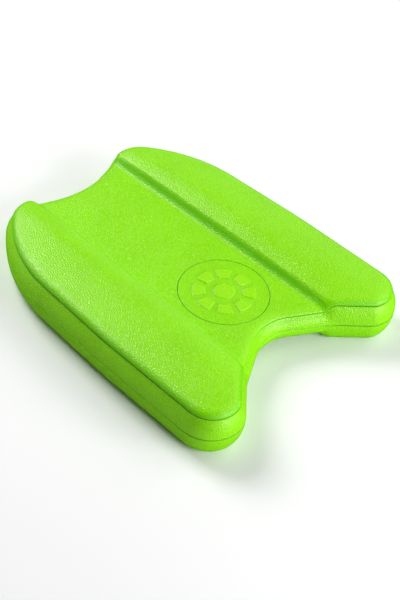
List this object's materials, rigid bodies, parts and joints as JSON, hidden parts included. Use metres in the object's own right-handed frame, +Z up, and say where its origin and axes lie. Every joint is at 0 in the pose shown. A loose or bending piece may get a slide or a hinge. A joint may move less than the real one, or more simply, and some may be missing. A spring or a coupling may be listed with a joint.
{
  "type": "kickboard float",
  "caption": "Foam pull-kick board with a shallow scoop at one end, a deep rounded notch at the other, and a sunk valley between two domed side lobes.",
  "frame": {"origin": "middle of the board's footprint, on the surface that it rests on", "axes": "+Z up through the board's thickness, +X across it, +Y along it from the deep notch towards the shallow scoop"},
  "size_m": [0.2494, 0.3003, 0.048],
  "materials": {
    "base_foam": "matte",
    "core_foam": "matte",
    "deck_foam": "matte",
    "badge_foam": "matte"
  },
  "bodies": {
    "root": {"base": "base_foam", "core": "core_foam", "top_deck": "deck_foam", "badge": "badge_foam"}
  },
  "joints": []
}
